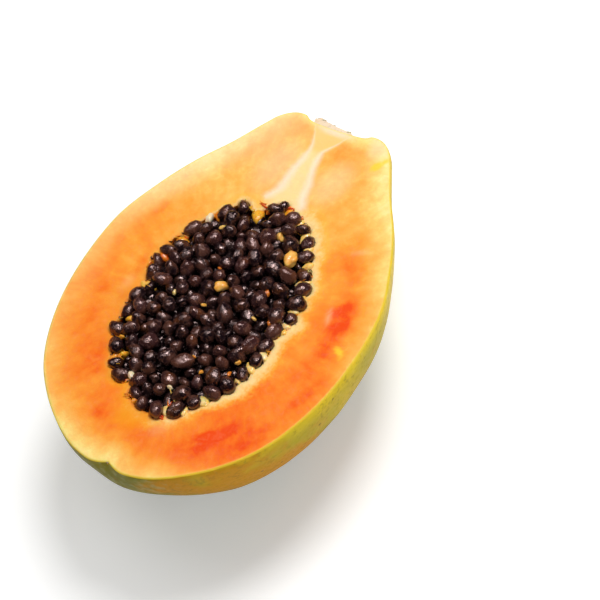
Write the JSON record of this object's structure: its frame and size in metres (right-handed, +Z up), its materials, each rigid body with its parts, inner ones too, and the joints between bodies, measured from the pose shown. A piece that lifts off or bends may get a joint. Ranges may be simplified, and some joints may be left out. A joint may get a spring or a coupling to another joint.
{
  "type": "papaya half",
  "caption": "Half of a ripe papaya cut lengthwise, with orange flesh, yellow-green skin and a hollow heaped with dark seeds, lying on its rounded back.",
  "frame": {"origin": "on the surface that the half lies on, under the middle of its length and width", "axes": "+X along the fruit towards the stem end, +Y across it, +Z up, out of the cut face"},
  "size_m": [0.1804, 0.128, 0.0726],
  "materials": {
    "flesh": "moist orange flesh on the cut face, smooth yellow-green skin on the back",
    "seeds": "wet, glossy, dark brown"
  },
  "bodies": {
    "root": {"papaya_half": "flesh", "seed_cluster": "seeds"}
  },
  "joints": []
}
